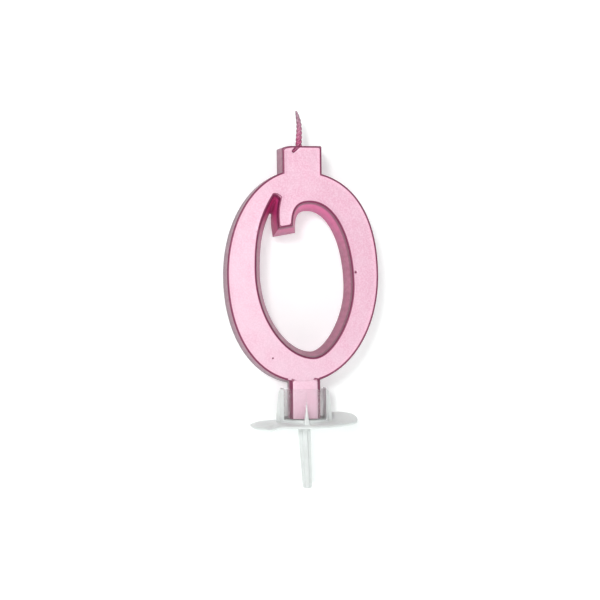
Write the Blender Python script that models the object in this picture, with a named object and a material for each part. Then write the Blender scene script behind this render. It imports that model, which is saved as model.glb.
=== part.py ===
"""Number birthday candle: a cast wax numeral 0 with a wick, standing in a moulded cake pick.

Frame: metres, +Z up the candle, the numeral's front face towards -Y, +X to the reader's right.
The origin is the centre of the pick flange's underside, which is where the cake's surface comes.
"""
from math import cos, pi, sin, tau

import bmesh
import bpy
from mathutils import Vector
from mathutils.geometry import interpolate_bezier

MM = 0.001
GAP = 0.3 * MM                      # air between pieces that touch on the real object

# Numeral: the front face's outline is the driving one, and every wall leans out towards the back.
NUMERAL_DEPTH = 10.0 * MM
RING_CENTRE_X = -0.5 * MM
RING_CENTRE_Z = 48.2 * MM
# The ring's front edge, from its centre. The neck hides the top, where the two sides come in at two heights.
RING_TOP_LEFT = 33.0 * MM
RING_LEFT = -23.3 * MM
RING_BOTTOM = -33.4 * MM
RING_RIGHT = 23.8 * MM
RING_TOP_RIGHT = 32.4 * MM
# How full each quarter is at its two ends, anticlockwise from the top. An ellipse has 0.5523 everywhere.
RING_FULLNESS = ((0.565, 0.57), (0.60, 0.587), (0.542, 0.575), (0.72, 0.523))
FRONT_EDGE_ROUND = 0.5 * MM
BACK_EDGE_ROUND = 0.2 * MM
OUTER_DRAFT = 1.1 * MM              # how far the outer walls spread between the two rounded edges
COUNTER_DRAFT = 1.6 * MM            # the same for the counter's walls, which spread further

NECK_LEFT_X = -6.0 * MM
NECK_RIGHT_X = 5.5 * MM
NECK_TOP_Z = 88.65 * MM
NECK_LEFT_ROUND = (3.4 * MM, 0.9 * MM)
NECK_RIGHT_ROUND = (0.5 * MM, 0.4 * MM)

# Counter of the 0, measured from the ring's centre: a run of Bezier curves with upright and level
# handles, from the slot beside the hook, round the bottom and back up to the hook's inner corner.
# A pair of handles is the one that comes before the point and the one after it.
SLOT_TOP = Vector((-9.05, 25.75)) * MM
SLOT_LEAN = Vector((-0.53, -0.848))
SLOT_HANDLE = 9.25 * MM
COUNTER_LEFT = Vector((-15.05, 1.5)) * MM
COUNTER_LEFT_HANDLES = (10.2 * MM, 15.5 * MM)
COUNTER_BOTTOM = Vector((3.3, -26.65)) * MM
COUNTER_BOTTOM_HANDLES = (8.9 * MM, 6.3 * MM)
COUNTER_RIGHT = Vector((16.5, -3.6)) * MM
COUNTER_RIGHT_HANDLES = (10.7 * MM, 14.2 * MM)
COUNTER_TOP = Vector((2.6, 23.4)) * MM
COUNTER_TOP_HANDLES = (8.8 * MM, 2.3 * MM)
HOOK_RIGHT_CORNER = Vector((-3.4, 15.9)) * MM
HOOK_HANDLE = 7.0 * MM
HOOK_LEFT_CORNER = Vector((-6.9, 15.25)) * MM
SLOT_TOP_RIGHT = Vector((-6.3, 24.6)) * MM
HOOK_SIDE_BOW = 0.5 * MM
SLOT_LEAST_WIDTH = 0.4 * MM

# Tang: the plain stub under the ring, all but flush with its faces, and eight-sided to stand in a round cup.
TANG_HALF_WIDTH = 4.95 * MM
TANG_HALF_DEPTH = NUMERAL_DEPTH / 2 - 0.02 * MM
TANG_FACE_HALF_WIDTH = 3.85 * MM
TANG_SIDE_HALF_DEPTH = 3.6 * MM
TANG_TOP_Z = 18.0 * MM

# Wick: sections above the neck as (height, sideways place, radius), up to the thin unburnt tip.
WICK_X = -0.8 * MM
WICK_RADIUS = 0.95 * MM
WICK_DEPTH = 14.8 * MM
WICK_ABOVE_NECK = (
    (0.6 * MM, 0.0 * MM, 0.98 * MM),
    (4.2 * MM, 0.2 * MM, 0.80 * MM),
    (7.7 * MM, -0.1 * MM, 0.64 * MM),
    (9.9 * MM, -0.4 * MM, 0.54 * MM),
    (12.7 * MM, -0.85 * MM, 0.20 * MM),
)

# Cake pick: round cup, four fins, oval flange and a cross-shaped spike, moulded in one.
CUP_BORE_RADIUS = 6.6 * MM
CUP_RIM_RADIUS = 7.6 * MM
CUP_FOOT_RADIUS = 7.9 * MM
CUP_FLOOR_Z = 2.3 * MM
CUP_RIM_Z = 12.1 * MM
CUP_RIM_BEVEL = 0.2 * MM
FLANGE_HALF_WIDTH = 17.3 * MM
FLANGE_HALF_DEPTH = 9.6 * MM
FLANGE_EDGE_THICKNESS = 1.0 * MM
FLANGE_THICKNESS = 1.6 * MM
FLANGE_SLOPE_INSET = 2.2 * MM
FLANGE_EDGE_ROUND = 0.3 * MM
FIN_THICKNESS = 2.0 * MM
FIN_RIM_REACH = 8.05 * MM
FIN_FOOT_REACH = 9.2 * MM
FIN_TOP_REACH = 7.3 * MM            # inside the cup's wall, so the fins run out into it
FIN_DROP = 0.9 * MM                 # the fins' outer corners end this far below the rim
SPIKE_LENGTH = 19.5 * MM
SPIKE_TOP_HALF_WIDTH = 1.95 * MM
SPIKE_TIP_HALF_WIDTH = 1.5 * MM
SPIKE_RIB_TOP_THICKNESS = 1.6 * MM
SPIKE_RIB_TIP_THICKNESS = 1.2 * MM
SPIKE_POINT_LENGTH = 0.8 * MM
SPIKE_POINT_SHARE = 0.65            # how much of the spike's section is left at its very end

TOOL_OVERSHOOT = 2.0 * MM           # how far a cutting tool stands out of what it cuts
CURVE_STEPS = 14                    # straight pieces in each quarter of a big curve
CORNER_STEPS = 4
ROUND_STEPS = 48

MATERIALS = {                       # base colour, metallic, roughness
    "wax_numeral": ((0.90, 0.55, 0.68, 1.0), 0.4, 0.35),
    "wick": ((0.50, 0.13, 0.25, 1.0), 0.1, 0.55),
    "holder": ((0.78, 0.82, 0.80, 1.0), 0.0, 0.30),
}


def clear_scene():
    for thing in list(bpy.data.objects):
        bpy.data.objects.remove(thing, do_unlink=True)


def add_object(name, mesh_builder):
    """Turn a bmesh into a named object in the scene, with its faces pointing out."""
    bmesh.ops.remove_doubles(mesh_builder, verts=mesh_builder.verts, dist=0.0001 * MM)
    bmesh.ops.recalc_face_normals(mesh_builder, faces=mesh_builder.faces)
    mesh = bpy.data.meshes.new(name)
    mesh_builder.to_mesh(mesh)
    mesh_builder.free()
    thing = bpy.data.objects.new(name, mesh)
    bpy.context.collection.objects.link(thing)
    return thing


def boolean(target, tool, operation):
    """Join or cut the target with a helper solid, which stays in the file as a guide only."""
    tool.hide_render = True
    tool.display_type = "WIRE"
    modifier = target.modifiers.new(tool.name, "BOOLEAN")
    modifier.operation = operation
    modifier.solver = "EXACT"
    modifier.object = tool


def finish(thing, smooth_angle=35 * pi / 180):
    """Give the object its own material and its shading."""
    colour, metallic, roughness = MATERIALS[thing.name]
    material = bpy.data.materials.new(thing.name)
    material.use_nodes = True
    shader = material.node_tree.nodes["Principled BSDF"]
    shader.inputs["Base Color"].default_value = colour
    shader.inputs["Metallic"].default_value = metallic
    shader.inputs["Roughness"].default_value = roughness
    thing.data.materials.append(material)
    thing.data.shade_smooth()
    thing.data.set_sharp_from_angle(angle=smooth_angle)


def stack(mesh_builder, levels):
    """Skin a stack of closed loops that all have the same number of points; return their vertices."""
    rows = [[mesh_builder.verts.new(point) for point in level] for level in levels]
    for lower, upper in zip(rows, rows[1:]):
        for i, vertex in enumerate(lower):
            j = (i + 1) % len(lower)
            mesh_builder.faces.new((vertex, lower[j], upper[j], upper[i]))
    return rows


def solid_from_levels(name, levels):
    """A closed solid from a stack of loops, with a flat cap at each end."""
    mesh_builder = bmesh.new()
    rows = stack(mesh_builder, levels)
    mesh_builder.faces.new(rows[0])
    mesh_builder.faces.new(rows[-1])
    return add_object(name, mesh_builder)


# Numeral outline -----------------------------------------------------------------------------

def meet(point_a, along_a, point_b, along_b):
    """Where two straight lines cross, each given by a point and a direction."""
    return point_a + along_a * (along_b.cross(point_b - point_a) / along_b.cross(along_a))


def shifted(points, grow):
    """Move a run of points sideways, to the left of the way it goes, by the amount that the wax grows."""
    moved = []
    for i, point in enumerate(points):
        along = (points[min(i + 1, len(points) - 1)] - points[max(i - 1, 0)]).normalized()
        moved.append(point + Vector((-along.y, along.x)) * grow)
    return moved


def ring_curves():
    """The ring's outer edge at the front face, one Bezier curve a quarter, anticlockwise from its top."""
    left = Vector((RING_LEFT, 0.0))
    bottom = Vector((0.0, RING_BOTTOM))
    right = Vector((RING_RIGHT, 0.0))
    ends = (Vector((0.0, RING_TOP_LEFT)), left, bottom, right, Vector((0.0, RING_TOP_RIGHT)))
    curves = []
    for start, end, (first, last) in zip(ends, ends[1:], RING_FULLNESS):
        curves.append((start, start + end * first, end + start * last, end))
    return curves


def point_across(points, x):
    """Where a run of points first passes the sideways place x, and the index before it."""
    for i, (a, b) in enumerate(zip(points, points[1:])):
        if (a.x - x) * (b.x - x) <= 0.0:
            return a.lerp(b, (x - a.x) / (b.x - a.x)), i


def corner_arc(centre, radii, start):
    """A quarter of an ellipse, anticlockwise from the start angle."""
    steps = [start + pi / 2 * i / CORNER_STEPS for i in range(CORNER_STEPS + 1)]
    return [centre + Vector((radii[0] * cos(a), radii[1] * sin(a))) for a in steps]


def outer_outline(grow):
    """Ring and neck, anticlockwise from the neck's right side, measured from the ring's centre."""
    left = NECK_LEFT_X - RING_CENTRE_X - grow
    right = NECK_RIGHT_X - RING_CENTRE_X + grow
    top = NECK_TOP_Z - RING_CENTRE_Z + grow
    wide, high = NECK_RIGHT_ROUND
    neck = corner_arc(Vector((right - wide, top - high)), NECK_RIGHT_ROUND, 0.0)
    wide, high = NECK_LEFT_ROUND
    neck += corner_arc(Vector((left + wide, top - high)), NECK_LEFT_ROUND, pi / 2)

    ring = [ring_curves()[0][0]]
    for curve in ring_curves():
        ring += run_of(curve, CURVE_STEPS * 3)[1:]
    ring = shifted(ring, -grow)
    left_root, after = point_across(ring, left)
    right_root, before = point_across(ring[::-1], right)
    ring = [left_root] + ring[after + 1:len(ring) - 1 - before] + [right_root]
    return neck + spread(ring, CURVE_STEPS * 7)


def counter_curves():
    """The counter's big curves at the front face, as (point, handle, handle, point), going anticlockwise."""
    up = Vector((0.0, 1.0))
    right = Vector((1.0, 0.0))
    (left_in, left_out), (bottom_in, bottom_out) = COUNTER_LEFT_HANDLES, COUNTER_BOTTOM_HANDLES
    (right_in, right_out), (top_in, top_out) = COUNTER_RIGHT_HANDLES, COUNTER_TOP_HANDLES
    return (
        (SLOT_TOP, SLOT_TOP + SLOT_LEAN * SLOT_HANDLE, COUNTER_LEFT + up * left_in, COUNTER_LEFT),
        (COUNTER_LEFT, COUNTER_LEFT - up * left_out, COUNTER_BOTTOM - right * bottom_in, COUNTER_BOTTOM),
        (COUNTER_BOTTOM, COUNTER_BOTTOM + right * bottom_out, COUNTER_RIGHT - up * right_in, COUNTER_RIGHT),
        (COUNTER_RIGHT, COUNTER_RIGHT + up * right_out, COUNTER_TOP + right * top_in, COUNTER_TOP),
        (COUNTER_TOP, COUNTER_TOP - right * top_out, HOOK_RIGHT_CORNER + up * HOOK_HANDLE, HOOK_RIGHT_CORNER),
    )


def run_of(curve, steps):
    return [Vector(point[:2]) for point in interpolate_bezier(*[p.to_3d() for p in curve], steps + 1)]


def point_at_height(points, height):
    """Where a run of points passes the height, or comes nearest to it, and the index before it."""
    heights = [point.y for point in points]
    height = min(max(height, min(heights)), max(heights))
    for i, (a, b) in enumerate(zip(points, points[1:])):
        if (a.y - height) * (b.y - height) <= 0.0:
            return a.lerp(b, (height - a.y) / (b.y - a.y)), i


def spread(points, count):
    """The same run with evenly spaced points."""
    lengths = [0.0]
    for a, b in zip(points, points[1:]):
        lengths.append(lengths[-1] + (b - a).length)
    even = []
    i = 0
    for step in range(count + 1):
        wanted = lengths[-1] * step / count
        while i < len(points) - 2 and lengths[i + 1] < wanted:
            i += 1
        even.append(points[i].lerp(points[i + 1], (wanted - lengths[i]) / (lengths[i + 1] - lengths[i])))
    return even


def counter_outline(grow):
    """Counter, slot and hook, anticlockwise from the slot's top, shrunk by the growth of the wax.

    Where the slot's two sides come together before its top, its top moves down to where they do.
    """
    curves = counter_curves()
    slot_side = shifted(run_of(curves[0], CURVE_STEPS * 4), grow)
    rest = []
    for curve in curves[1:]:
        rest += run_of(curve, CURVE_STEPS)[1:]
    rest = shifted([curves[0][3]] + rest, grow)[1:]

    hook_end = HOOK_LEFT_CORNER - HOOK_RIGHT_CORNER
    hook_under = shifted([HOOK_RIGHT_CORNER, HOOK_LEFT_CORNER], grow)[0]
    rest[-1] = meet(rest[-1], Vector((0.0, 1.0)), hook_under, hook_end)

    bow = Vector((-HOOK_SIDE_BOW * 4 / 3, 0.0))
    lower = HOOK_LEFT_CORNER.lerp(SLOT_TOP_RIGHT, 1 / 3) + bow
    upper = HOOK_LEFT_CORNER.lerp(SLOT_TOP_RIGHT, 2 / 3) + bow
    hook_side = shifted(run_of((HOOK_LEFT_CORNER, lower, upper, SLOT_TOP_RIGHT), CURVE_STEPS), grow)
    hook_side[0] = meet(hook_side[0], hook_side[0] - hook_side[1], hook_under, hook_end)

    height = SLOT_TOP.y - grow
    drop = SLOT_TOP.y - SLOT_TOP_RIGHT.y
    step = 0.02 * MM
    while True:
        left, before = point_at_height(slot_side, height)
        right, after = point_at_height(hook_side, height - drop)
        if right.x - left.x >= SLOT_LEAST_WIDTH:
            break
        height -= step
        drop = min(drop, 0.2 * MM)
    slot_side = spread([left] + slot_side[before + 1:], CURVE_STEPS)
    hook_side = spread(hook_side[:after + 1] + [right], CORNER_STEPS * 2)
    return slot_side + rest + hook_side


def numeral_levels(draft):
    """Depth and growth of the outline at each level, from the front face to the back."""
    front = -NUMERAL_DEPTH / 2
    return (
        (front, 0.0),
        (front + FRONT_EDGE_ROUND * 0.3, FRONT_EDGE_ROUND * 0.7),
        (front + FRONT_EDGE_ROUND, FRONT_EDGE_ROUND),
        (-front - BACK_EDGE_ROUND, FRONT_EDGE_ROUND + draft),
        (-front, FRONT_EDGE_ROUND + draft - BACK_EDGE_ROUND),
    )


def ring_with_neck():
    """The drafted ring with its counter, hook and neck, before the tang joins it."""
    mesh_builder = bmesh.new()
    ends = []
    for outline, draft in ((outer_outline, OUTER_DRAFT), (counter_outline, COUNTER_DRAFT)):
        levels = []
        for depth, grow in numeral_levels(draft):
            points = outline(grow)
            levels.append([(RING_CENTRE_X + p.x, depth, RING_CENTRE_Z + p.y) for p in points])
        rows = stack(mesh_builder, levels)
        ends.append((rows[0], rows[-1]))
    for face in zip(*ends):
        edges = []
        for row in face:
            for a, b in zip(row, row[1:] + row[:1]):
                edges.append(mesh_builder.edges.get((a, b)))
        bmesh.ops.triangle_fill(mesh_builder, use_beauty=True, use_dissolve=False, edges=edges)
    return add_object("wax_numeral", mesh_builder)


def tang_tool():
    """Eight-sided stub that goes down into the pick's cup."""
    half = ((TANG_HALF_WIDTH, -TANG_SIDE_HALF_DEPTH), (TANG_HALF_WIDTH, TANG_SIDE_HALF_DEPTH),
            (TANG_FACE_HALF_WIDTH, TANG_HALF_DEPTH), (-TANG_FACE_HALF_WIDTH, TANG_HALF_DEPTH))
    outline = list(half) + [(-x, -y) for x, y in half]
    bottom = CUP_FLOOR_Z + GAP
    return solid_from_levels("tang_tool", [[(x, y, z) for x, y in outline] for z in (bottom, TANG_TOP_Z)])


def round_level(centre_x, height, radius, sides):
    """One loop of a round piece, with a flat and not a corner towards each axis."""
    turns = [tau * (i + 0.5) / sides for i in range(sides)]
    return [(centre_x + radius * cos(turn), radius * sin(turn), height) for turn in turns]


def make_wax_numeral():
    numeral = ring_with_neck()
    boolean(numeral, tang_tool(), "UNION")
    radius = WICK_RADIUS + GAP
    bottom = NECK_TOP_Z - WICK_DEPTH - GAP
    top = NECK_TOP_Z + TOOL_OVERSHOOT
    bore = [round_level(WICK_X, z, radius, 16) for z in (bottom, top)]
    boolean(numeral, solid_from_levels("wick_bore_tool", bore), "DIFFERENCE")
    finish(numeral)


def make_wick():
    """A braided cotton wick stiffened with wax: straight in the wax, then leaning to its thin tip."""
    levels = [round_level(WICK_X, NECK_TOP_Z - WICK_DEPTH, WICK_RADIUS, 12)]
    levels.append(round_level(WICK_X, NECK_TOP_Z, WICK_RADIUS, 12))
    for above, aside, radius in WICK_ABOVE_NECK:
        levels.append(round_level(WICK_X + aside, NECK_TOP_Z + above, radius, 12))
    finish(solid_from_levels("wick", levels))


# Cake pick ------------------------------------------------------------------------------------

def flange_level(inset, height):
    """One loop of the oval flange."""
    points = []
    for step in range(ROUND_STEPS):
        angle = tau * step / ROUND_STEPS
        x = (FLANGE_HALF_WIDTH - inset) * cos(angle)
        y = (FLANGE_HALF_DEPTH - inset) * sin(angle)
        points.append((x, y, height))
    return points


def flange_solid():
    edge = FLANGE_EDGE_ROUND
    levels = [
        flange_level(edge, 0.0),
        flange_level(0.0, edge),
        flange_level(0.0, FLANGE_EDGE_THICKNESS - edge),
        flange_level(edge, FLANGE_EDGE_THICKNESS),
        flange_level(FLANGE_SLOPE_INSET, FLANGE_THICKNESS),
    ]
    return solid_from_levels("holder", levels)


def cup_tool():
    """The cup as a solid plug; the bore is cut after the fins are on."""
    sunk = FLANGE_EDGE_THICKNESS / 2
    levels = [round_level(0.0, sunk, CUP_FOOT_RADIUS, ROUND_STEPS)]
    levels.append(round_level(0.0, CUP_RIM_Z - CUP_RIM_BEVEL, CUP_RIM_RADIUS, ROUND_STEPS))
    levels.append(round_level(0.0, CUP_RIM_Z, CUP_RIM_RADIUS - CUP_RIM_BEVEL, ROUND_STEPS))
    return solid_from_levels("cup_tool", levels)


def bore_tool():
    above = CUP_RIM_Z + TOOL_OVERSHOOT
    levels = [round_level(0.0, z, CUP_BORE_RADIUS, ROUND_STEPS) for z in (CUP_FLOOR_Z, above)]
    return solid_from_levels("bore_tool", levels)


def cross_level(half_width, half_rib, height):
    """One loop of a cross: four arms, each with two outer corners and an inner corner after it."""
    points = []
    for arm in range(4):
        turn = pi / 2 * arm
        for x, y in ((half_width, -half_rib), (half_width, half_rib), (half_rib, half_rib)):
            points.append((x * cos(turn) - y * sin(turn), x * sin(turn) + y * cos(turn), height))
    return points


def fins_tool():
    """Four stiffening fins that widen from under the cup's rim down to the flange."""
    half = FIN_THICKNESS / 2
    levels = [
        cross_level(FIN_FOOT_REACH, half, FLANGE_EDGE_THICKNESS / 2),
        cross_level(FIN_RIM_REACH, half, CUP_RIM_Z - FIN_DROP),
        cross_level(FIN_TOP_REACH, half, CUP_RIM_Z - FIN_DROP / 2),
    ]
    return solid_from_levels("fins_tool", levels)


def spike_tool():
    half_top = SPIKE_RIB_TOP_THICKNESS / 2
    half_tip = SPIKE_RIB_TIP_THICKNESS / 2
    share = SPIKE_POINT_SHARE
    levels = [
        cross_level(SPIKE_TIP_HALF_WIDTH * share, half_tip * share, -SPIKE_LENGTH),
        cross_level(SPIKE_TIP_HALF_WIDTH, half_tip, SPIKE_POINT_LENGTH - SPIKE_LENGTH),
        cross_level(SPIKE_TOP_HALF_WIDTH, half_top, FLANGE_THICKNESS / 2),
    ]
    return solid_from_levels("spike_tool", levels)


def make_holder():
    holder = flange_solid()
    boolean(holder, cup_tool(), "UNION")
    boolean(holder, fins_tool(), "UNION")
    boolean(holder, bore_tool(), "DIFFERENCE")
    boolean(holder, spike_tool(), "UNION")
    finish(holder)


clear_scene()
make_wax_numeral()
make_wick()
make_holder()
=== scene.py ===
from math import cos, pi, radians, sin, tau

import bmesh
import bpy
from mathutils import Euler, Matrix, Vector, noise
from mathutils.geometry import delaunay_2d_cdt, interpolate_bezier
from mathutils.kdtree import KDTree


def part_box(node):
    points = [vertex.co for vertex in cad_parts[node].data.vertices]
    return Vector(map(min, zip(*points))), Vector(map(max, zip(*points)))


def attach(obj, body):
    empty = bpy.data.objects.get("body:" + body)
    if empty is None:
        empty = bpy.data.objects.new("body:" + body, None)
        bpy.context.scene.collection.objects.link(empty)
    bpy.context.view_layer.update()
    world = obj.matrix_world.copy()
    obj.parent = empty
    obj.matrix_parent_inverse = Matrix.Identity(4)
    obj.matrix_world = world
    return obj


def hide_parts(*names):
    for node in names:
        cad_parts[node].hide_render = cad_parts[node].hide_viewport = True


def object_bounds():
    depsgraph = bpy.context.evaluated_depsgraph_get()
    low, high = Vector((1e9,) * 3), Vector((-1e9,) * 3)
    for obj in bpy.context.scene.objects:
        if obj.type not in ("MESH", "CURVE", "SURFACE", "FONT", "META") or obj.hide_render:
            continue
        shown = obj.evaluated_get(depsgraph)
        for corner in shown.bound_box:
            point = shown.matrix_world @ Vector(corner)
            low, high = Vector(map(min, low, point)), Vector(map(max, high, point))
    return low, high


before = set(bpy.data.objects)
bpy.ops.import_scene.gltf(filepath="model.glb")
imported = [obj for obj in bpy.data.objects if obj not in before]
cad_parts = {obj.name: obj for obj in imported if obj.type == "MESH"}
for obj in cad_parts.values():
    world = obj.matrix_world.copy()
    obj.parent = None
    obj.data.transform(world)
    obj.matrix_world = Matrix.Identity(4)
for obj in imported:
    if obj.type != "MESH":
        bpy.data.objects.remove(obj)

MM = 0.001
CAD_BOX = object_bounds()

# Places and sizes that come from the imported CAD.
WAX_LOW, WAX_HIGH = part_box("wax_numeral")
WICK_LOW, WICK_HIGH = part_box("wick")
PICK_LOW, PICK_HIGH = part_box("holder")
DEPTH = WAX_HIGH.y - WAX_LOW.y
FRONT_Y = WAX_LOW.y
BACK_Y = WAX_HIGH.y

# Lights: name, place in metres, diameter in metres and power in watts. Both point at the numeral.
LIGHTS = (
    ("softbox", (-0.10, -1.0, 0.06), 0.6, 1.7),
    ("key", (-0.31, -1.0, 0.29), 0.20, 3.45),
)
LIGHT_TARGET = Vector((0.0, 0.0, 45 * MM))
WORLD_STRENGTH = 0.36

# Stage. It glows a little, so that the paper stays white beside the shadows.
STAGE_REACH = 3.0
FLOOR_GAP = 0.3 * MM
BACKDROP_GAP = 0.4 * MM
STAGE_GLOW = {"floor": 0.45, "backdrop": 0.22}

# Numeral outline, as the part has it: the front face's outline, and how far the walls lean out.
# The ring, the counter, the slot and the hook are measured from the ring's centre.
FRONT_ROUND = 0.5 * MM
BACK_ROUND = 0.2 * MM
OUTER_DRAFT = 1.1 * MM
COUNTER_DRAFT = 1.6 * MM
RING_CENTRE = Vector((-0.5, 48.2)) * MM
RING_TOP_LEFT = 33.0 * MM
RING_LEFT = WAX_LOW.x + FRONT_ROUND + OUTER_DRAFT - RING_CENTRE.x
RING_BOTTOM = -33.4 * MM
RING_RIGHT = WAX_HIGH.x - FRONT_ROUND - OUTER_DRAFT - RING_CENTRE.x
RING_TOP_RIGHT = 32.4 * MM
# How full each quarter of the ring is, as the reach of its curve's first and last handle.
RING_FULLNESS = ((0.565, 0.57), (0.60, 0.587), (0.542, 0.575), (0.72, 0.523))
NECK_LEFT_X = -6.0 * MM
NECK_RIGHT_X = 5.5 * MM
NECK_TOP_Z = WAX_HIGH.z - FRONT_ROUND - OUTER_DRAFT
NECK_LEFT_ROUND = (3.4 * MM, 0.9 * MM)
NECK_RIGHT_ROUND = (0.5 * MM, 0.4 * MM)
SLOT_TOP = Vector((-9.05, 25.75)) * MM
SLOT_LEAN = Vector((-0.53, -0.848))
SLOT_HANDLE = 9.25 * MM
SLOT_TOP_RIGHT = Vector((-6.3, 24.6)) * MM
SLOT_LEAST_WIDTH = 0.4 * MM
SLOT_TOP_CROWN = 0.15
COUNTER_LEFT = Vector((-15.05, 1.5)) * MM
COUNTER_LEFT_HANDLES = (10.2 * MM, 15.5 * MM)
COUNTER_BOTTOM = Vector((3.3, -26.65)) * MM
COUNTER_BOTTOM_HANDLES = (8.9 * MM, 6.3 * MM)
COUNTER_RIGHT = Vector((16.5, -3.6)) * MM
COUNTER_RIGHT_HANDLES = (10.7 * MM, 14.2 * MM)
COUNTER_TOP = Vector((2.6, 23.4)) * MM
COUNTER_TOP_HANDLES = (8.8 * MM, 2.3 * MM)
HOOK_RIGHT_CORNER = Vector((-3.4, 15.9)) * MM
HOOK_LEFT_CORNER = Vector((-6.9, 15.25)) * MM
HOOK_HANDLE = 7.0 * MM
HOOK_SIDE_BOW = 0.5 * MM

# How finely the numeral is divided.
RING_STEPS = 336
CURVE_STEPS = 48
CORNER_STEPS = 8
NECK_TOP_STEPS = 12
NECK_SIDE_STEPS = 14
HOOK_END_STEPS = 10
FRONT_EDGE_STEPS = 6
WALL_STEPS = 12
BACK_EDGE_STEPS = 3
FACE_GRID = 0.55 * MM
FACE_GRID_CLEAR = 0.35 * MM
DENT_GRID = 0.12 * MM
HEXAGON_ROW = 0.866
MERGE_DISTANCE = 0.0005 * MM
SHARP_ANGLE = radians(32)

# How uneven the cast faces are. A wander's scale is in lumps per metre, more or less.
FACE_SLACK = 0.05 * MM
FACE_SINK = 0.08 * MM
BACK_SINK = 0.35 * MM
FACE_WANDER = 0.06 * MM
FRONT_WANDER_SCALE = 110.0
BACK_WANDER_SCALE = 90.0
RIM_WIDTH = 0.8 * MM

# Small flaws in the front face, each a short groove: from, to, radius and depth, in millimetres.
DENTS = (
    ((-3.0, 87.4), (-1.2, 89.0), 0.55, 0.35),
    ((-14.7, 61.6), (-14.7, 61.9), 0.35, 0.22),
    ((-21.6, 63.9), (-21.5, 64.0), 0.30, 0.20),
    ((16.5, 49.0), (16.6, 48.9), 0.32, 0.22),
    ((-10.2, 21.9), (-10.1, 22.0), 0.28, 0.18),
    ((2.8, 15.1), (4.1, 15.0), 0.35, 0.25),
    ((-4.2, 14.9), (-3.6, 14.8), 0.35, 0.25),
)
DEEPEST_DENT = max(depth for _, _, _, depth in DENTS) * MM

# Stub under the ring.
TANG_BOTTOM_Z = WAX_LOW.z
TANG_TOP_Z = 18.0 * MM
TANG_HALF_WIDTH = 4.95 * MM
TANG_HALF_DEPTH = DEPTH / 2 - 0.02 * MM
TANG_FACE_HALF_WIDTH = 3.85 * MM
TANG_SIDE_HALF_DEPTH = 3.6 * MM
TANG_EDGE_ROUND = 0.25 * MM
TANG_ROOT_Z = 14.2 * MM

# Wick, in millimetres: height above the neck, how far aside it leans there, and its radius.
WICK_KNOTS = (
    (-1.0, 0.0, 1.08),
    (2.0, 0.0, 1.06),
    (4.9, 0.15, 1.0),
    (6.5, 0.2, 0.93),
    (8.2, 0.15, 0.86),
    (9.8, -0.05, 0.77),
    (11.4, -0.4, 0.58),
    (12.7, -0.75, 0.28),
)
WICK_X = -0.8 * MM
WICK_STEPS = 90
STRANDS = 3
STRAND_SIDES = 14
STRAND_PITCH = 4.2
STRAND_SWING = 0.42
STRAND_RADIUS = 0.62
WICK_VOXEL = 0.09 * MM
WICK_MELT_ROUNDS = 4

# Cake pick.
BORE_RADIUS = 6.6 * MM
RIM_RADIUS = 7.6 * MM
FOOT_RADIUS = 7.9 * MM
FLOOR_Z = 2.3 * MM
RIM_Z = PICK_HIGH.z
FLANGE_HALF_WIDTH = (PICK_HIGH.x - PICK_LOW.x) / 2
FLANGE_HALF_DEPTH = (PICK_HIGH.y - PICK_LOW.y) / 2
FLANGE_EDGE = 1.0 * MM
FLANGE_EDGE_ROUND = 0.3 * MM
FLANGE_THICKNESS = 1.6 * MM
FLANGE_SLOPE = 2.2 * MM
FIN_THICKNESS = 2.0 * MM
FIN_RIM_REACH = 8.05 * MM
FIN_FOOT_REACH = 9.2 * MM
FIN_DROP = 0.9 * MM
FIN_WEB_Z = 5.6 * MM
FIN_WEB_REACH = 8.65 * MM
FIN_WEB_FOOT_HALF = 0.25 * MM
FIN_WEB_HALF = 0.2 * MM
SPIKE_LENGTH = -PICK_LOW.z
SPIKE_TOP_HALF_WIDTH = 2.05 * MM
SPIKE_TOP_HALF_RIB = 0.8 * MM
SPIKE_TIP_HALF_WIDTH = 1.5 * MM
SPIKE_TIP_HALF_RIB = 0.65 * MM
SPIKE_END_HALF_WIDTH = 1.2 * MM
SPIKE_END_HALF_RIB = 0.5 * MM
SPIKE_TIP_ROUND = 0.3 * MM
SPIKE_LEAN = 0.042
ROUND_SIDES = 96
TOOL_OVERSHOOT = 2 * MM
PICK_VOXEL = 0.16 * MM
PICK_MELT_ROUNDS = 3

# Colours.
PAPER = (0.87, 0.90, 0.89)
WHITE = (1.0, 1.0, 1.0)
# Face pinks: pale, with a painted sheen.
FACE_PINK = (0.75, 0.40, 0.53)
FACE_PALE = (0.76, 0.50, 0.605)
FLAKE_PINK = (0.83, 0.56, 0.67)
RIM_PINK = (0.88, 0.44, 0.60)
# Wall pinks: deep, with painted shade.
WALL_DEEP = (0.39, 0.068, 0.17)
WALL_PINK = (0.49, 0.112, 0.235)
# Painted bounce light on the walls high in the counter.
PAINTED_BOUNCE_GLOW = (0.86, 0.10, 0.38)
WALL_REAR_GREY = (0.12, 0.042, 0.072)
STUB_PINK = (0.78, 0.47, 0.60)
# A painted shade line along the front edge.
EDGE_SHADE = (0.20, 0.022, 0.078)
# Painted shade in the front face's dents.
DENT_SHADE = (0.34, 0.06, 0.15)
# Wick colours: painted shade where it faces aside, paler where it faces front or back.
SOAKED_SIDE_SHADE = (0.37, 0.045, 0.145)
SOAKED_STRAND = (0.76, 0.18, 0.36)
DRY_SIDE_SHADE = (0.21, 0.10, 0.145)
DRY_STRAND = (0.46, 0.28, 0.35)
PLASTIC_GREY = (0.77, 0.795, 0.785)
PLASTIC_MILKY = (0.82, 0.845, 0.835)
# Painted top light on the plastic's up-facing surfaces.
PLASTIC_TOP_LIGHT = (0.95, 0.975, 0.965)


# Camera and stage -----------------------------------------------------------------------------

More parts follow.
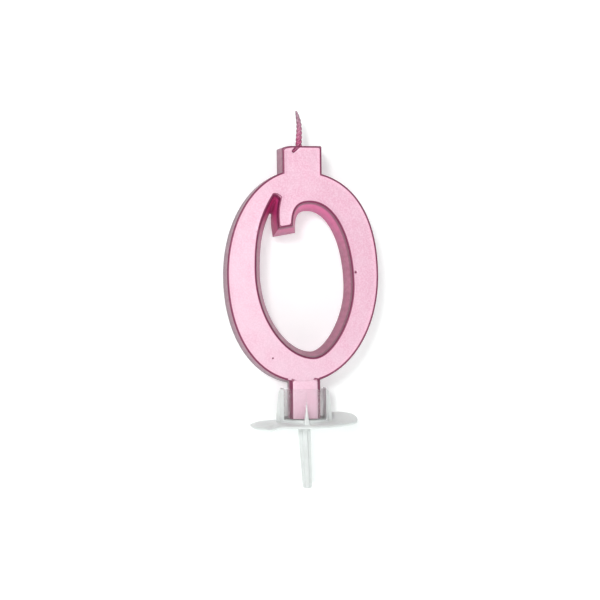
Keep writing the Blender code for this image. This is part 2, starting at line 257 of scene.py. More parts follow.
def make_camera():
    distance = 300 * MM
    azimuth = radians(-5.7)
    elevation = radians(-1.4)
    roll = radians(-0.6)
    target = Vector((-1.4 * MM, FRONT_Y, 40.2 * MM))
    data = bpy.data.cameras.new("camera")
    data.sensor_width = 36.0
    data.lens = 57.0
    data.clip_start = 0.01
    data.clip_end = 20.0
    camera = bpy.data.objects.new("camera", data)
    away = Vector((sin(azimuth) * cos(elevation), -cos(azimuth) * cos(elevation), sin(elevation)))
    camera.location = target + away * distance
    camera.rotation_mode = "QUATERNION"
    look = (-away).to_track_quat("-Z", "Y")
    camera.rotation_quaternion = look @ Euler((0.0, 0.0, roll)).to_quaternion()
    bpy.context.scene.collection.objects.link(camera)
    bpy.context.scene.camera = camera


def add_light(name, location, size, power):
    data = bpy.data.lights.new(name, "AREA")
    data.shape = "DISK"
    data.size = size
    data.energy = power
    lamp = bpy.data.objects.new(name, data)
    lamp.location = location
    lamp.rotation_mode = "QUATERNION"
    lamp.rotation_quaternion = (LIGHT_TARGET - Vector(location)).to_track_quat("-Z", "Y")
    bpy.context.scene.collection.objects.link(lamp)


def make_lights():
    for light in LIGHTS:
        add_light(*light)
    world = bpy.data.worlds.new("studio")
    world.use_nodes = True
    background = world.node_tree.nodes["Background"]
    background.inputs["Color"].default_value = WHITE + (1.0,)
    background.inputs["Strength"].default_value = WORLD_STRENGTH
    bpy.context.scene.world = world
    bpy.context.scene.view_settings.view_transform = "Standard"


def make_stage():
    """A floor at the spike's tip, and white paper just behind, on which the soft shadows fall."""
    low = CAD_BOX[0].z - FLOOR_GAP
    back = CAD_BOX[1].y + BACKDROP_GAP
    far = STAGE_REACH
    floor = ((-far, -far, low), (far, -far, low), (far, far, low), (-far, far, low))
    paper = ((-far, back, low), (far, back, low), (far, back, far), (-far, back, far))
    for name, corners in (("floor", floor), ("backdrop", paper)):
        mesh = bpy.data.meshes.new(name)
        mesh.from_pydata(corners, [], [(0, 1, 2, 3)])
        thing = bpy.data.objects.new(name, mesh)
        bpy.context.scene.collection.objects.link(thing)
        thing.data.materials.append(stage_material(name))


def stage_material(name):
    """White paper. The backdrop stands close behind, so its far side lets the other views through."""
    recipe = Recipe(name)
    recipe.finish(Base_Color=PAPER, Roughness=0.9, Specular_IOR_Level=0.1,
                  Emission_Color=WHITE, Emission_Strength=STAGE_GLOW[name])
    if name == "backdrop":
        far_side = recipe.node("NewGeometry").outputs["Backfacing"]
        clear = recipe.node("BsdfTransparent").outputs[0]
        mixed = recipe.node("MixShader", far_side, recipe.shader.outputs[0], clear)
        recipe.link(mixed.outputs[0], recipe.tree.nodes["Material Output"].inputs["Surface"])
    return recipe.material


# Helpers --------------------------------------------------------------------------------------

class Recipe:
    """One procedural material, put together out of small node steps."""

    def __init__(self, name):
        self.material = bpy.data.materials.new(name)
        self.material.use_nodes = True
        self.tree = self.material.node_tree
        self.shader = self.tree.nodes["Principled BSDF"]
        self.place = self.tree.nodes.new("ShaderNodeTexCoord")

    def link(self, source, socket):
        """Feed a socket with another node's output, or with a plain number or colour."""
        if isinstance(source, bpy.types.NodeSocket):
            self.tree.links.new(source, socket)
        elif isinstance(source, (int, float)):
            socket.default_value = source
        else:
            socket.default_value = tuple(source) + (1.0,) * (len(socket.default_value) - len(source))

    def node(self, kind, *sources, **settings):
        made = self.tree.nodes.new("ShaderNode" + kind)
        for setting, value in settings.items():
            setattr(made, setting, value)
        for source, socket in zip(sources, made.inputs):
            self.link(source, socket)
        return made

    def maths(self, operation, *sources):
        return self.node("Math", *sources, operation=operation).outputs[0]

    def steps(self, value, low, high, start=0.0, end=1.0):
        """A smooth change from start to end while the value goes from low to high."""
        made = self.node("MapRange", value, low, high, start, end, interpolation_type="SMOOTHSTEP")
        return made.outputs[0]

    def parts_of(self, place):
        """The X, Y and Z of the object's own place or normal."""
        return self.node("SeparateXYZ", self.place.outputs[place]).outputs

    def moved_place(self, location, scale):
        """The object's own place, scaled and then moved."""
        return self.node("Mapping", self.place.outputs["Object"], location, (0, 0, 0), scale).outputs[0]

    def length(self, vector):
        return self.node("VectorMath", vector, operation="LENGTH").outputs["Value"]

    def mixed(self, factor, colour, other):
        made = self.tree.nodes.new("ShaderNodeMix")
        made.data_type = "RGBA"
        for source, name in ((factor, "Factor_Float"), (colour, "A_Color"), (other, "B_Color")):
            self.link(source, next(s for s in made.inputs if s.identifier == name))
        return next(s for s in made.outputs if s.identifier == "Result_Color")

    def noise(self, size, detail=3.0, stretch=(1.0, 1.0, 1.0)):
        """Noise whose lumps are about this many metres across, longer along the stretched axes."""
        made = self.node("TexNoise")
        self.link(self.moved_place((0, 0, 0), [1 / (size * s) for s in stretch]), made.inputs["Vector"])
        made.inputs["Scale"].default_value = 1.0
        made.inputs["Detail"].default_value = detail
        return made.outputs["Fac"]

    def bump(self, height, distance, below=None):
        made = self.node("Bump")
        made.inputs["Distance"].default_value = distance
        self.link(height, made.inputs["Height"])
        if below:
            self.link(below, made.inputs["Normal"])
        return made.outputs[0]

    def finish(self, **sockets):
        """Feed the shader's own sockets, which are named here with _ for a space."""
        for name, source in sockets.items():
            self.link(source, self.shader.inputs[name.replace("_", " ")])
        return self.material


def add_object(name, mesh_builder):
    bmesh.ops.remove_doubles(mesh_builder, verts=mesh_builder.verts, dist=MERGE_DISTANCE)
    bmesh.ops.recalc_face_normals(mesh_builder, faces=mesh_builder.faces)
    mesh = bpy.data.meshes.new(name)
    mesh_builder.to_mesh(mesh)
    mesh_builder.free()
    thing = bpy.data.objects.new(name, mesh)
    bpy.context.scene.collection.objects.link(thing)
    return thing


def dress(thing, material):
    """Smooth shading, and this material in the only slot."""
    thing.data.shade_smooth()
    thing.data.materials.clear()
    thing.data.materials.append(material)


def apply_modifiers(thing):
    """Replace the object's mesh with what its modifiers make of it."""
    graph = bpy.context.evaluated_depsgraph_get()
    made = bpy.data.meshes.new_from_object(thing.evaluated_get(graph))
    thing.modifiers.clear()
    thing.data = made


def boolean(target, tool, operation):
    """Join or cut the target with a helper solid, then drop the helper."""
    modifier = target.modifiers.new(tool.name, "BOOLEAN")
    modifier.operation = operation
    modifier.solver = "EXACT"
    modifier.object = tool
    apply_modifiers(target)
    bpy.data.objects.remove(tool, do_unlink=True)


def remesh(thing, voxel, rounds):
    """Melt sharp corners into moulded ones."""
    modifier = thing.modifiers.new("remesh", "REMESH")
    modifier.mode = "VOXEL"
    modifier.voxel_size = voxel
    modifier = thing.modifiers.new("smooth", "SMOOTH")
    modifier.factor = 0.5
    modifier.iterations = rounds
    apply_modifiers(thing)


def stack(mesh_builder, levels):
    """Walls between loops of points, each loop with as many points as the one before it."""
    rows = [[mesh_builder.verts.new(point) for point in level] for level in levels]
    for lower, upper in zip(rows, rows[1:]):
        for i, vertex in enumerate(lower):
            j = (i + 1) % len(lower)
            mesh_builder.faces.new((vertex, lower[j], upper[j], upper[i]))
    return rows


def closed_stack(mesh_builder, levels):
    rows = stack(mesh_builder, levels)
    mesh_builder.faces.new(rows[0])
    mesh_builder.faces.new(rows[-1])


def solid_from_levels(name, levels):
    mesh_builder = bmesh.new()
    closed_stack(mesh_builder, levels)
    return add_object(name, mesh_builder)


def round_level(centre, height, radius, sides):
    turns = [tau * (i + 0.5) / sides for i in range(sides)]
    return [(centre[0] + radius * cos(turn), centre[1] + radius * sin(turn), height) for turn in turns]


def cross_level(half_width, half_rib, height):
    points = []
    for arm in range(4):
        turn = pi / 2 * arm
        for x, y in ((half_width, -half_rib), (half_width, half_rib), (half_rib, half_rib)):
            points.append((x * cos(turn) - y * sin(turn), x * sin(turn) + y * cos(turn), height))
    return points


def fins_level(reach, half_side, half_front, height):
    """One loop of the fins' cross. Its side arms and its front and back arms have their own thickness."""
    quarter = ((reach, half_side), (half_front, half_side), (half_front, reach))
    points = list(quarter) + [(-x, y) for x, y in reversed(quarter)]
    return [(x, y, height) for x, y in points + [(-x, -y) for x, y in points]]


def ease(value, low, high):
    """0 below low, 1 above high, and smooth between them. It falls instead where low is above high."""
    t = min(max((value - low) / (high - low), 0.0), 1.0)
    return t * t * (3 - 2 * t)


# Runs of points -------------------------------------------------------------------------------

def meet(point_a, along_a, point_b, along_b):
    """Where two straight lines cross, each given by a point and a direction."""
    return point_a + along_a * (along_b.cross(point_b - point_a) / along_b.cross(along_a))


def shifted(points, grow):
    """The run moved to its left by a distance."""
    moved = []
    for i, point in enumerate(points):
        along = (points[min(i + 1, len(points) - 1)] - points[max(i - 1, 0)]).normalized()
        moved.append(point + Vector((-along.y, along.x)) * grow)
    return moved


def straight(a, b, count):
    """The points strictly between two ends."""
    return [a.lerp(b, i / count) for i in range(1, count)]


def run_of(curve, steps):
    return [Vector(point[:2]) for point in interpolate_bezier(*[p.to_3d() for p in curve], steps + 1)]


def corner_arc(centre, radii, start):
    steps = [start + pi / 2 * i / CORNER_STEPS for i in range(CORNER_STEPS + 1)]
    return [centre + Vector((radii[0] * cos(a), radii[1] * sin(a))) for a in steps]


def crossing(points, axis, value):
    """Where the run first passes a value on one axis, or comes nearest to it, and the index before it."""
    values = [point[axis] for point in points]
    value = min(max(value, min(values)), max(values))
    for i, (a, b) in enumerate(zip(points, points[1:])):
        if (a[axis] - value) * (b[axis] - value) <= 0.0:
            return a.lerp(b, (value - a[axis]) / (b[axis] - a[axis])), i


def spread(points, count):
    """The same run, divided into even steps."""
    lengths = [0.0]
    for a, b in zip(points, points[1:]):
        lengths.append(lengths[-1] + (b - a).length)
    even = []
    i = 0
    for step in range(count + 1):
        wanted = lengths[-1] * step / count
        while i < len(points) - 2 and lengths[i + 1] < wanted:
            i += 1
        even.append(points[i].lerp(points[i + 1], (wanted - lengths[i]) / (lengths[i + 1] - lengths[i])))
    return even


def inside(point, outline):
    hit = False
    for a, b in zip(outline, outline[1:] + outline[:1]):
        if (a.y > point.y) != (b.y > point.y):
            if point.x < (b.x - a.x) * (point.y - a.y) / (b.y - a.y) + a.x:
                hit = not hit
    return hit


# Numeral outline ------------------------------------------------------------------------------

def ring_curves():
    """The ring's outer edge at the front face, one Bezier curve a quarter, anticlockwise from its top."""
    left = Vector((RING_LEFT, 0.0))
    bottom = Vector((0.0, RING_BOTTOM))
    right = Vector((RING_RIGHT, 0.0))
    ends = (Vector((0.0, RING_TOP_LEFT)), left, bottom, right, Vector((0.0, RING_TOP_RIGHT)))
    curves = []
    for start, end, (first, last) in zip(ends, ends[1:], RING_FULLNESS):
        curves.append((start, start + end * first, end + start * last, end))
    return curves


def outer_outline(grow):
    """Ring and neck, anticlockwise from the neck's right side, measured from the ring's centre."""
    left = NECK_LEFT_X - RING_CENTRE.x - grow
    right = NECK_RIGHT_X - RING_CENTRE.x + grow
    top = NECK_TOP_Z - RING_CENTRE.y + grow
    wide, high = NECK_RIGHT_ROUND
    right_corner = corner_arc(Vector((right - wide, top - high)), NECK_RIGHT_ROUND, 0.0)
    wide, high = NECK_LEFT_ROUND
    left_corner = corner_arc(Vector((left + wide, top - high)), NECK_LEFT_ROUND, pi / 2)

    ring = [ring_curves()[0][0]]
    for curve in ring_curves():
        ring += run_of(curve, CURVE_STEPS * 3)[1:]
    ring = shifted(ring, -grow)
    left_root, after = crossing(ring, 0, left)
    right_root, before = crossing(ring[::-1], 0, right)
    ring = spread([left_root] + ring[after + 1:len(ring) - 1 - before] + [right_root], RING_STEPS)
    outline = right_corner + straight(right_corner[-1], left_corner[0], NECK_TOP_STEPS) + left_corner
    outline += straight(left_corner[-1], ring[0], NECK_SIDE_STEPS) + ring
    return outline + straight(ring[-1], right_corner[0], NECK_SIDE_STEPS)


def counter_curves():
    """The counter's edge at the front face, from the slot's top anticlockwise to the hook's end."""
    up = Vector((0.0, 1.0))
    right = Vector((1.0, 0.0))
    left_in, left_out = COUNTER_LEFT_HANDLES
    bottom_in, bottom_out = COUNTER_BOTTOM_HANDLES
    right_in, right_out = COUNTER_RIGHT_HANDLES
    top_in, top_out = COUNTER_TOP_HANDLES
    hook = HOOK_RIGHT_CORNER
    return (
        (SLOT_TOP, SLOT_TOP + SLOT_LEAN * SLOT_HANDLE, COUNTER_LEFT + up * left_in, COUNTER_LEFT),
        (COUNTER_LEFT, COUNTER_LEFT - up * left_out, COUNTER_BOTTOM - right * bottom_in, COUNTER_BOTTOM),
        (COUNTER_BOTTOM, COUNTER_BOTTOM + right * bottom_out, COUNTER_RIGHT - up * right_in, COUNTER_RIGHT),
        (COUNTER_RIGHT, COUNTER_RIGHT + up * right_out, COUNTER_TOP + right * top_in, COUNTER_TOP),
        (COUNTER_TOP, COUNTER_TOP - right * top_out, hook + up * HOOK_HANDLE, hook),
    )


def slot_ends(slot_side, hook_side, grow):
    """Where the slot's top meets its two sides. It moves down until the slot is wide enough for a top."""
    height = SLOT_TOP.y - grow
    drop = SLOT_TOP.y - SLOT_TOP_RIGHT.y
    while True:
        left, before = crossing(slot_side, 1, height)
        right, after = crossing(hook_side, 1, height - drop)
        if right.x - left.x >= SLOT_LEAST_WIDTH:
            return left, before, right, after
        height -= 0.02 * MM
        drop = min(drop, 0.2 * MM)


def counter_outline(grow):
    """Counter, hook and slot, anticlockwise from the slot's top, measured from the ring's centre."""
    curves = counter_curves()
    slot_side = shifted(run_of(curves[0], CURVE_STEPS * 4), grow)
    rest = [curves[0][3]]
    for curve in curves[1:]:
        rest += run_of(curve, CURVE_STEPS)[1:]
    rest = shifted(rest, grow)[1:]

    hook_end = HOOK_LEFT_CORNER - HOOK_RIGHT_CORNER
    hook_under = shifted([HOOK_RIGHT_CORNER, HOOK_LEFT_CORNER], grow)[0]
    rest[-1] = meet(rest[-1], Vector((0.0, 1.0)), hook_under, hook_end)

    bow = Vector((-HOOK_SIDE_BOW * 4 / 3, 0.0))
    lower = HOOK_LEFT_CORNER.lerp(SLOT_TOP_RIGHT, 1 / 3) + bow
    upper = HOOK_LEFT_CORNER.lerp(SLOT_TOP_RIGHT, 2 / 3) + bow
    hook_side = shifted(run_of((HOOK_LEFT_CORNER, lower, upper, SLOT_TOP_RIGHT), CURVE_STEPS), grow)
    hook_side[0] = meet(hook_side[0], hook_side[0] - hook_side[1], hook_under, hook_end)

    left, before, right, after = slot_ends(slot_side, hook_side, grow)
    slot_side = spread([left] + slot_side[before + 1:], CURVE_STEPS)
    hook_side = spread(hook_side[:after + 1] + [right], CURVE_STEPS // 2)
    under = straight(rest[-1], hook_side[0], HOOK_END_STEPS)
    slot_end = straight(hook_side[-1], slot_side[0], HOOK_END_STEPS)
    crown = (hook_side[-1] - slot_side[0]).length * SLOT_TOP_CROWN
    for i, point in enumerate(slot_end, 1):
        point.y += crown * sin(pi * i / HOOK_END_STEPS)
    return slot_side + rest + under + hook_side + slot_end


# Numeral --------------------------------------------------------------------------------------

def numeral_levels(draft):
    """Depth and growth of the outline at each level: a rounded front edge, a leaning wall, a crisp back."""
    levels = []
    for i in range(FRONT_EDGE_STEPS + 1):
        turn = pi / 2 * i / FRONT_EDGE_STEPS
        levels.append((FRONT_Y + FRONT_ROUND * (1 - cos(turn)), FRONT_ROUND * sin(turn)))
    start = FRONT_Y + FRONT_ROUND
    length = DEPTH - FRONT_ROUND - BACK_ROUND
    for i in range(1, WALL_STEPS + 1):
        levels.append((start + length * i / WALL_STEPS, FRONT_ROUND + draft * i / WALL_STEPS))
    for i in range(1, BACK_EDGE_STEPS + 1):
        turn = pi / 2 * i / BACK_EDGE_STEPS
        grow = FRONT_ROUND + draft - BACK_ROUND * (1 - cos(turn))
        levels.append((BACK_Y - BACK_ROUND * (1 - sin(turn)), grow))
    return levels


def hexagonal(low, high, step):
    """Points on a hexagonal grid between two corners."""
    points = []
    for row in range(int((high.y - low.y) / (step * HEXAGON_ROW)) + 1):
        y = low.y + row * step * HEXAGON_ROW
        for column in range(int((high.x - low.x) / step) + 1):
            points.append(Vector((low.x + (column + 0.5 * (row % 2)) * step, y)))
    return points


def dent_weight(point):
    """How deep in a dent a point of the front face lies, from 0 outside to 1, and that dent's depth."""
    best = (0.0, 0.0)
    for start, end, radius, depth in DENTS:
        start = Vector(start) * MM
        along = Vector(end) * MM - start
        t = min(max((point - start).dot(along) / along.length_squared, 0.0), 1.0)
        weight = ease((point - start - along * t).length, radius * MM, 0.0)
        best = max(best, (weight, depth * MM))
    return best


def grid_points(outer, counter, dented):
    """Points on the face, clear of its edges, and close together where it has a dent."""
    corner = Vector((RING_RIGHT + FACE_GRID, NECK_TOP_Z - RING_CENTRE.y))
    points = hexagonal(-corner, corner, FACE_GRID)
    if dented:
        points = [p for p in points if dent_weight(p + RING_CENTRE)[0] == 0.0]
        for start, end, radius, _ in DENTS:
            around = Vector((radius, radius))
            low = (Vector(start) - around) * MM - RING_CENTRE
            high = (Vector(end) + around) * MM - RING_CENTRE
            fine = hexagonal(Vector(map(min, low, high)), Vector(map(max, low, high)), DENT_GRID)
            points += [p for p in fine if dent_weight(p + RING_CENTRE)[0] > 0.0]
    return [p for p in points if inside(p, outer) and not inside(p, counter)]


def fill_face(mesh_builder, outer_row, counter_row, extra, depth, flip):
    """Fill a face between its two edges with even triangles, so that it can carry a gentle unevenness."""
    row = outer_row + counter_row
    edge = [Vector((v.co.x, v.co.z)) - RING_CENTRE for v in row]
    count = len(outer_row)
    total = len(edge)
    loops = [(i, (i + 1) % count) for i in range(count)]
    loops += [(i, count + (i - count + 1) % (total - count)) for i in range(count, total)]
    places, _, faces, sources, _, _ = delaunay_2d_cdt(edge + extra, loops, [], 0, 1e-9, True)
    corner = []
    for place, source in zip(places, sources):
        if source and source[0] < total:
            corner.append(row[source[0]])
        else:
            corner.append(mesh_builder.verts.new((RING_CENTRE.x + place.x, depth, RING_CENTRE.y + place.y)))
    for face in faces:
        middle = (places[face[0]] + places[face[1]] + places[face[2]]) / 3
        if inside(middle, edge[:count]) and not inside(middle, edge[count:]):
            mesh_builder.faces.new([corner[i] for i in (face if flip else reversed(face))])


def rim_tree():
    """The front face's edges as a search tree, without the stretch that the tang covers."""
    points = []
    for outline in (outer_outline(0.0), counter_outline(0.0)):
        for point in spread(outline + outline[:1], len(outline) * 5):
            if point.y + RING_CENTRE.y > TANG_TOP_Z or abs(point.x) > TANG_HALF_WIDTH:
                points.append(point)
    tree = KDTree(len(points))
    for i, point in enumerate(points):
        tree.insert(point.to_3d(), i)
    tree.balance()
    return tree


def shape_faces(numeral):
    """Cast faces are never flat: they sink a little inside their rim, wander, and keep small dents.

    Each point of the front also learns how near the rim and how deep in a dent it is, for its colour and the
    painted shade in its dent.
    """
    tree = rim_tree()
    rim = numeral.data.attributes.new("rim", "FLOAT", "POINT")
    dent = numeral.data.attributes.new("dent", "FLOAT", "POINT")
    for vertex in numeral.data.vertices:
        place = vertex.co
        flat = Vector((place.x, place.z))
        apart = tree.find((flat - RING_CENTRE).to_3d())[2]
        if place.y < FRONT_Y + FRONT_ROUND:
            rim.data[vertex.index].value = ease(apart, RIM_WIDTH, 0.0)
            weight, depth = dent_weight(flat)
            dent.data[vertex.index].value = weight * depth / DEEPEST_DENT
            if place.y < FRONT_Y + FACE_SLACK:
                wander = noise.noise(place * FRONT_WANDER_SCALE) * FACE_WANDER
                place.y += (FACE_SINK + wander) * ease(apart, 0.0, RIM_WIDTH)
            place.y += weight * depth
        elif place.y > BACK_Y - FACE_SLACK:
            wander = noise.noise(place * BACK_WANDER_SCALE) * FACE_WANDER
            above_tang = ease(place.z, TANG_TOP_Z, 2 * TANG_TOP_Z)
            place.y -= (BACK_SINK + wander) * ease(apart, 0.0, 3 * RIM_WIDTH) * above_tang


def tang_tool():
    """The stub, with rows of points close beside its edges, so that only the edges shade round."""
    beside = TANG_EDGE_ROUND * 1.5
    near = TANG_FACE_HALF_WIDTH - beside
    half = (
        (TANG_HALF_WIDTH, -TANG_SIDE_HALF_DEPTH),
        (TANG_HALF_WIDTH, TANG_SIDE_HALF_DEPTH),
        (TANG_FACE_HALF_WIDTH, TANG_HALF_DEPTH),
        (near, TANG_HALF_DEPTH),
        (-near, TANG_HALF_DEPTH),
        (-TANG_FACE_HALF_WIDTH, TANG_HALF_DEPTH),
    )
    outline = list(half) + [(-x, -y) for x, y in half]
    heights = (TANG_BOTTOM_Z, TANG_BOTTOM_Z + beside, TANG_ROOT_Z, TANG_TOP_Z)
    tool = solid_from_levels("tang_tool", [[(x, y, z) for x, y in outline] for z in heights])
    bevel = tool.modifiers.new("bevel", "BEVEL")
    bevel.width = TANG_EDGE_ROUND
    bevel.segments = 3
    bevel.use_clamp_overlap = True
    apply_modifiers(tool)
    return tool


def make_numeral():
    mesh_builder = bmesh.new()
    rows = []
    for outline, draft in ((outer_outline, OUTER_DRAFT), (counter_outline, COUNTER_DRAFT)):
        levels = []
        for depth, grow in numeral_levels(draft):
            levels.append([(RING_CENTRE.x + p.x, depth, RING_CENTRE.y + p.y) for p in outline(grow)])
        rows.append(stack(mesh_builder, levels))
    outer, counter = rows
    clear = -FACE_GRID_CLEAR
    extra = grid_points(outer_outline(clear), counter_outline(clear), True)
    fill_face(mesh_builder, outer[0], counter[0], extra, FRONT_Y, True)
    grow = FRONT_ROUND - BACK_ROUND + clear
    extra = grid_points(outer_outline(grow + OUTER_DRAFT), counter_outline(grow + COUNTER_DRAFT), False)
    fill_face(mesh_builder, outer[-1], counter[-1], extra, BACK_Y, False)
    numeral = add_object("numeral", mesh_builder)
    boolean(numeral, tang_tool(), "UNION")
    shape_faces(numeral)
    dress(numeral, lacquer_material())
    numeral.data.set_sharp_from_angle(angle=SHARP_ANGLE)
    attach(numeral, "candle")
    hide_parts("wax_numeral")


def face_colour(recipe, place, flakes, rim):
    """The broad faces: palest at the lower left in a painted sheen, cloudy, full of fine flakes, and
    brighter at the rim.
    """
    # Painted sheen: the faces turn paler towards the lower left.
    sheen_slope = recipe.maths("MULTIPLY_ADD", place["Z"], 0.6, place["X"])
    pale = recipe.steps(sheen_slope, -10 * MM, 60 * MM, 0.9, 0.1)
    clouds = recipe.noise(5.0 * MM, 4.0)
    pale = recipe.maths("ADD", pale, recipe.steps(clouds, 0.3, 0.7, -0.3, 0.3))
    colour = recipe.mixed(pale, FACE_PINK, FACE_PALE)
    colour = recipe.mixed(recipe.steps(flakes, 0.4, 0.65, 0.0, 0.7), colour, FLAKE_PINK)
    return recipe.mixed(recipe.maths("MULTIPLY", rim, 0.5), colour, RIM_PINK)


def wall_colour(recipe, place, behind):
    """The walls: deep pink runs under painted shade, a painted glow of bounced light high in the counter,
    dull outside and behind, a pale stub.
    """
    runs = recipe.noise(1.6 * MM, 3.0, (1.0, 6.0, 1.0))
    colour = recipe.mixed(recipe.steps(runs, 0.3, 0.7), WALL_DEEP, WALL_PINK)

    centre = (-RING_CENTRE.x / RING_RIGHT, 0.0, -RING_CENTRE.y / RING_TOP_LEFT)
    ring_place = recipe.moved_place(centre, (1 / RING_RIGHT, 0.0, 1 / RING_TOP_LEFT))
    outside = recipe.steps(recipe.length(ring_place), 0.88, 0.96)
    # Painted bounce light: the counter's walls glow a brighter pink high up.
    high = recipe.steps(place["Z"], 54 * MM, 74 * MM, 0.0, 0.85)
    high = recipe.maths("MULTIPLY", high, recipe.maths("SUBTRACT", 1.0, outside))
    colour = recipe.mixed(high, colour, PAINTED_BOUNCE_GLOW)

    low = recipe.steps(place["Z"], 84 * MM, 70 * MM, 0.55, 1.0)
    dull = recipe.maths("MULTIPLY", outside, low)
    dull = recipe.maths("MULTIPLY", dull, recipe.steps(behind, 1 * MM, 4 * MM))
    # Darker and greyer towards the back of the walls, most on the outer walls.
    rear_grey = recipe.maths("MULTIPLY_ADD", dull, 0.7, recipe.steps(behind, 4 * MM, 10 * MM, 0.0, 0.35))
    colour = recipe.mixed(rear_grey, colour, WALL_REAR_GREY)
    stub = recipe.steps(place["Z"], 13 * MM, 11.5 * MM, 0.0, 0.85)
    return recipe.mixed(stub, colour, STUB_PINK)


def lacquer_material():
    """Pearl lacquer over wax, coloured by which way it faces: pale on the faces with a painted sheen, deep
    on the walls with painted shade, and darkest in a painted shade line along the front edge.
    """
    recipe = Recipe("pearl_lacquer")
    on_face = recipe.steps(recipe.maths("ABSOLUTE", recipe.parts_of("Normal")["Y"]), 0.93, 0.995)
    place = recipe.parts_of("Object")
    behind = recipe.maths("SUBTRACT", place["Y"], FRONT_Y)
    on_wall = recipe.steps(behind, 1.0 * MM, 3.0 * MM)
    rim = recipe.node("Attribute", attribute_name="rim").outputs["Fac"]
    dent = recipe.node("Attribute", attribute_name="dent").outputs["Fac"]
    flakes = recipe.noise(0.5 * MM, 3.0)

    # Painted shade: a dark line over the front edge's rounding and the front of the walls.
    colour = recipe.mixed(on_wall, EDGE_SHADE, wall_colour(recipe, place, behind))
    # The faces' pale pinks carry a painted sheen, and the walls' deep pinks carry painted shade.
    on_broad_face = recipe.maths("MULTIPLY", on_face, recipe.steps(rim, 0.95, 0.76))
    colour = recipe.mixed(on_broad_face, colour, face_colour(recipe, place, flakes, rim))
    # Painted shade darkens the dents.
    colour = recipe.mixed(recipe.steps(dent, 0.1, 0.8, 0.0, 0.75), colour, DENT_SHADE)

    grain = recipe.bump(flakes, 0.012 * MM)
    peel = recipe.bump(recipe.noise(1.4 * MM, 2.0), 0.05 * MM, grain)
    rough = recipe.steps(recipe.noise(0.8 * MM), 0.3, 0.7, 0.30, 0.42)
    metal = recipe.maths("MULTIPLY", on_face, 0.15)
    coat = recipe.maths("MULTIPLY", on_face, 0.3)
    return recipe.finish(Base_Color=colour, Metallic=metal, Roughness=rough, Normal=peel,
                         Coat_Weight=coat, Coat_Roughness=0.3, Specular_IOR_Level=0.35)


# Wick -----------------------------------------------------------------------------------------

def wick_line(height):
    """How far aside the wick leans at a height above the neck, and how thick it is there."""
    for (z0, x0, r0), (z1, x1, r1) in zip(WICK_KNOTS, WICK_KNOTS[1:]):
        if height <= z1:
            t = ease(height, z0, z1)
            u = (height - z0) / (z1 - z0)
            return x0 + (x1 - x0) * (t + u) / 2, r0 + (r1 - r0) * u
    return WICK_KNOTS[-1][1:]


def make_wick():
    """Three strands twisted round the wick's line and melted together by the wax."""
    mesh_builder = bmesh.new()
    bottom = WICK_KNOTS[0][0]
    top = (WICK_HIGH.z - NECK_TOP_Z) / MM
    for strand in range(STRANDS):
        levels = []
        for i in range(WICK_STEPS + 1):
            height = bottom + (top - bottom) * i / WICK_STEPS
            aside, radius = wick_line(height)
            turn = tau * (strand / STRANDS + height / STRAND_PITCH)
            swing = radius * STRAND_SWING
            x = WICK_X + (aside + swing * cos(turn)) * MM
            y = swing * sin(turn) * MM
            thick = radius * STRAND_RADIUS * MM
            levels.append(round_level((x, y), NECK_TOP_Z + height * MM, thick, STRAND_SIDES))
        closed_stack(mesh_builder, levels)
    wick = add_object("braided_wick", mesh_builder)
    remesh(wick, WICK_VOXEL, WICK_MELT_ROUNDS)
    dress(wick, wick_material())
    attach(wick, "candle")
    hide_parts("wick")


def wick_material():
    """Cotton soaked in wax and lacquer: deep pink at its foot, greyer and drier towards the tip, with
    painted shade on its sides.
    """
    recipe = Recipe("waxed_wick")
    up = recipe.steps(recipe.parts_of("Object")["Z"], NECK_TOP_Z, WICK_HIGH.z)
    # Painted shade: darker where the wick faces aside, paler where it faces front or back.
    front = recipe.steps(recipe.maths("ABSOLUTE", recipe.parts_of("Normal")["Y"]), 0.55, 0.97)
    patches = recipe.steps(recipe.noise(0.7 * MM), 0.35, 0.6, 0.45, 1.0)
    front = recipe.maths("MULTIPLY", front, patches)
    soaked = recipe.mixed(front, SOAKED_SIDE_SHADE, SOAKED_STRAND)
    dry = recipe.mixed(front, DRY_SIDE_SHADE, DRY_STRAND)
    fibres = recipe.noise(0.12 * MM, 3.0, (1.0, 1.0, 5.0))
    return recipe.finish(Base_Color=recipe.mixed(up, soaked, dry), Normal=recipe.bump(fibres, 0.03 * MM),
                         Roughness=recipe.steps(up, 0.0, 1.0, 0.3, 0.6), Coat_Weight=0.2)


# Cake pick ------------------------------------------------------------------------------------

def flange_level(inset, height):
    points = []
    for step in range(ROUND_SIDES):
        angle = tau * step / ROUND_SIDES
        x = (FLANGE_HALF_WIDTH - inset) * cos(angle)
        y = (FLANGE_HALF_DEPTH - inset) * sin(angle)
        points.append((x, y, height))
    return points


def flange_solid():
    return solid_from_levels("pick", [
        flange_level(FLANGE_EDGE_ROUND, 0.0),
        flange_level(0.0, FLANGE_EDGE_ROUND),
        flange_level(0.0, FLANGE_EDGE - FLANGE_EDGE_ROUND),
        flange_level(FLANGE_EDGE_ROUND, FLANGE_EDGE),
        flange_level(FLANGE_SLOPE, FLANGE_THICKNESS),
    ])


def cup_tool():
    return solid_from_levels("cup_tool", [
        round_level((0, 0), FLANGE_EDGE / 2, FOOT_RADIUS, ROUND_SIDES),
        round_level((0, 0), RIM_Z, RIM_RADIUS, ROUND_SIDES),
    ])


def fins_tool():
    """Four fins. The front and back ones thin out to a web in their upper part."""
    half = FIN_THICKNESS / 2
    return solid_from_levels("fins_tool", [
        fins_level(FIN_FOOT_REACH, half, half, FLANGE_EDGE / 2),
        fins_level(FIN_WEB_REACH, half, FIN_WEB_FOOT_HALF, FIN_WEB_Z),
        fins_level(FIN_RIM_REACH, half, FIN_WEB_HALF, RIM_Z - FIN_DROP),
        fins_level(RIM_RADIUS - 0.3 * MM, half, FIN_WEB_HALF, RIM_Z - FIN_DROP / 2),
    ])


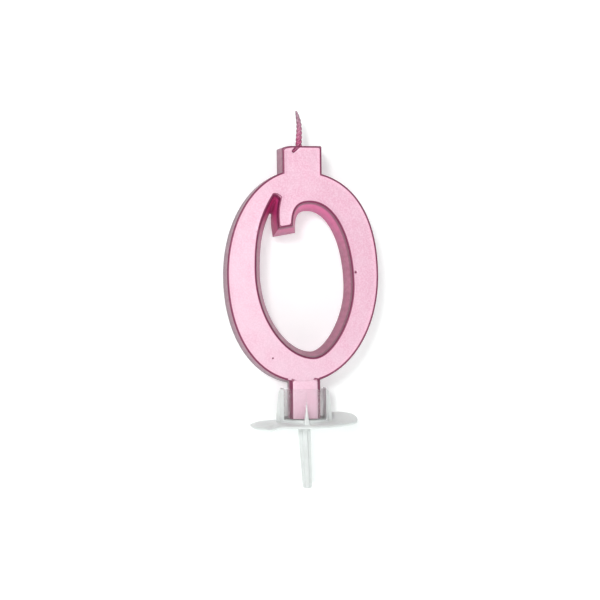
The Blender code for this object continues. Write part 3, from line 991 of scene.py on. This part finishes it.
def bore_tool():
    return solid_from_levels("bore_tool", [
        round_level((0, 0), FLOOR_Z, BORE_RADIUS, ROUND_SIDES),
        round_level((0, 0), RIM_Z + TOOL_OVERSHOOT, BORE_RADIUS, ROUND_SIDES),
    ])


def spike_tool():
    return solid_from_levels("spike_tool", [
        cross_level(SPIKE_END_HALF_WIDTH, SPIKE_END_HALF_RIB, -SPIKE_LENGTH - SPIKE_TIP_ROUND),
        cross_level(SPIKE_TIP_HALF_WIDTH, SPIKE_TIP_HALF_RIB, SPIKE_TIP_ROUND - SPIKE_LENGTH),
        cross_level(SPIKE_TOP_HALF_WIDTH, SPIKE_TOP_HALF_RIB, FLANGE_THICKNESS / 2),
    ])


def warp_pick(vertex):
    """A soft moulding never cools quite true.

    The flange curls up at one side, droops at the other and has a nub, and the spike leans a little.
    """
    x, y, z = vertex.co / MM
    out = ease(Vector((x, y)).length, 7.9, 11.0) * ease(z, 5.0, 2.0)
    lift = 2.1 * ease(x, 4.0, 10.5) * ease(y, -4.0, 5.0) + 0.5 * ease(x, 6.0, 17.0)
    droop = 0.55 * ease(-x, 8.0, 13.0) * ease(-y, 0.0, 5.0)
    nub = 0.5 * ease((Vector((x, y)) - Vector((-10.7, -7.0))).length, 2.2, 0.0)
    if z < 0.0:
        x -= z * SPIKE_LEAN
    vertex.co = Vector((x, y, z + out * (lift - droop - nub))) * MM


def make_pick():
    holder = flange_solid()
    boolean(holder, cup_tool(), "UNION")
    boolean(holder, fins_tool(), "UNION")
    boolean(holder, bore_tool(), "DIFFERENCE")
    boolean(holder, spike_tool(), "UNION")
    remesh(holder, PICK_VOXEL, PICK_MELT_ROUNDS)
    for vertex in holder.data.vertices:
        warp_pick(vertex)
    dress(holder, pick_material())
    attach(holder, "pick")
    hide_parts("holder")


def thin_wall(recipe, place):
    """1 in the cup's thin wall, and 0 in its floor, its fins, and its sides, where the fins thicken it."""
    above_floor = recipe.steps(place["Z"], FLOOR_Z - 0.2 * MM, FLOOR_Z + 0.8 * MM)
    aside = recipe.maths("ABSOLUTE", place["X"])
    thin = recipe.maths("MULTIPLY", above_floor, recipe.steps(aside, 6.9 * MM, 6.5 * MM))
    out = recipe.length(recipe.moved_place((0, 0, 0), (1, 1, 0)))
    past_cup = recipe.steps(out, FOOT_RADIUS, FOOT_RADIUS + 0.25 * MM)
    fin = recipe.maths("MULTIPLY", past_cup, recipe.steps(place["Z"], 9.0 * MM, 5.5 * MM, 0.3, 1.0))
    return recipe.maths("MULTIPLY", thin, recipe.maths("SUBTRACT", 1.0, fin))


def pick_material():
    """Soft plastic: milky where it is thick, clear in the cup's thin wall, and palest where it faces up, a
    painted top light.
    """
    recipe = Recipe("clear_plastic")
    thin = thin_wall(recipe, recipe.parts_of("Object"))
    haze = recipe.noise(2.5 * MM, 3.0)
    colour = recipe.mixed(recipe.steps(haze, 0.3, 0.7), PLASTIC_GREY, PLASTIC_MILKY)
    # Painted top light: surfaces facing up are paler.
    colour = recipe.mixed(recipe.steps(recipe.parts_of("Normal")["Z"], 0.5, 0.95), colour, PLASTIC_TOP_LIGHT)
    ripple = recipe.bump(recipe.noise(1.5 * MM, 2.0), 0.04 * MM)
    return recipe.finish(Base_Color=colour, Roughness=recipe.steps(thin, 0.0, 1.0, 0.28, 0.12), IOR=1.45,
                         Transmission_Weight=recipe.steps(thin, 0.0, 1.0, 0.15, 0.95),
                         Alpha=recipe.steps(thin, 0.0, 1.0, 1.0, 0.18), Normal=ripple)


make_camera()
make_lights()
make_stage()
make_numeral()
make_wick()
make_pick()
